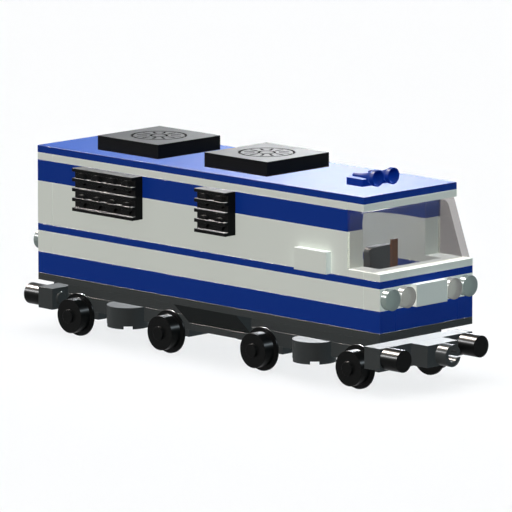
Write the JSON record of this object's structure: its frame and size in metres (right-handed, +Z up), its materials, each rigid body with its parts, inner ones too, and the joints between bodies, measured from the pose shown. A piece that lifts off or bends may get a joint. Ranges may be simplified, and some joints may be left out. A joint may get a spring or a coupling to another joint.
{
  "type": "brick-built toy freight locomotive",
  "caption": "Box-shaped toy freight locomotive of stud bricks: sloped clear windscreen, side and roof grilles, twin horns, buffers, coupling clips and turning flanged wheelsets.",
  "frame": {"origin": "on the running plane under the wheel flanges, under the middle of the base plate", "axes": "+X forward to the windscreen, +Y to the left, +Z up"},
  "size_m": [0.202, 0.0586, 0.0767],
  "materials": {
    "blue_plastic": "moulded blue plastic, glossy",
    "white_plastic": "moulded off-white plastic, glossy",
    "dark_grey_plastic": "moulded dark grey plastic, glossy",
    "black_plastic": "moulded black plastic, glossy",
    "clear_plastic": "clear moulded plastic with a faint smoky tint",
    "red_clear_plastic": "clear moulded plastic with a faint red tint",
    "brown_plastic": "moulded brown plastic"
  },
  "bodies": {
    "body": {"lower_course": "blue_plastic", "stripe_course": "blue_plastic", "band_course": "blue_plastic", "roof": "blue_plastic", "horns": "blue_plastic", "middle_course": "white_plastic", "wall_course": "white_plastic", "header_course": "white_plastic", "nose_ledge": "white_plastic", "plate_left": "white_plastic", "plate_right": "white_plastic", "plate_front": "white_plastic", "base_plate": "dark_grey_plastic", "cab_stand": "dark_grey_plastic", "seat": "dark_grey_plastic", "beam_front": "dark_grey_plastic", "beam_rear": "dark_grey_plastic", "coupling_front": "dark_grey_plastic", "coupling_rear": "dark_grey_plastic", "carrier_plate_front": "dark_grey_plastic", "carrier_plate_rear": "dark_grey_plastic", "carrier_block_front": "dark_grey_plastic", "carrier_block_rear": "dark_grey_plastic", "drums_front": "dark_grey_plastic", "drums_rear": "dark_grey_plastic", "axle_holder_1": "dark_grey_plastic", "axle_holder_2": "dark_grey_plastic", "axle_holder_3": "dark_grey_plastic", "axle_holder_4": "dark_grey_plastic", "tank_slopes": "dark_grey_plastic", "tank_plate": "dark_grey_plastic", "fan_rear": "black_plastic", "fan_front": "black_plastic", "grille_long_left": "black_plastic", "grille_long_right": "black_plastic", "grille_short_left": "black_plastic", "grille_short_right": "black_plastic", "buffers_front": "black_plastic", "buffers_rear": "black_plastic", "windscreen": "clear_plastic", "lamps_front_clear": "clear_plastic", "lamps_rear_clear": "clear_plastic", "lamps_front_red": "red_clear_plastic", "lamps_rear_red": "red_clear_plastic", "lever": "brown_plastic"},
    "wheelset_1": {"wheelset_1": "black_plastic"},
    "wheelset_2": {"wheelset_2": "black_plastic"},
    "wheelset_3": {"wheelset_3": "black_plastic"},
    "wheelset_4": {"wheelset_4": "black_plastic"}
  },
  "joints": [
    {"name": "axle_1_spin", "type": "hinge", "parent": "body", "child": "wheelset_1", "pos_m": [-0.072, 0, 0.008], "axis": [0, 1, 0], "continuous": true},
    {"name": "axle_2_spin", "type": "hinge", "parent": "body", "child": "wheelset_2", "pos_m": [-0.024, 0, 0.008], "axis": [0, 1, 0], "continuous": true},
    {"name": "axle_3_spin", "type": "hinge", "parent": "body", "child": "wheelset_3", "pos_m": [0.024, 0, 0.008], "axis": [0, 1, 0], "continuous": true},
    {"name": "axle_4_spin", "type": "hinge", "parent": "body", "child": "wheelset_4", "pos_m": [0.072, 0, 0.008], "axis": [0, 1, 0], "continuous": true}
  ]
}
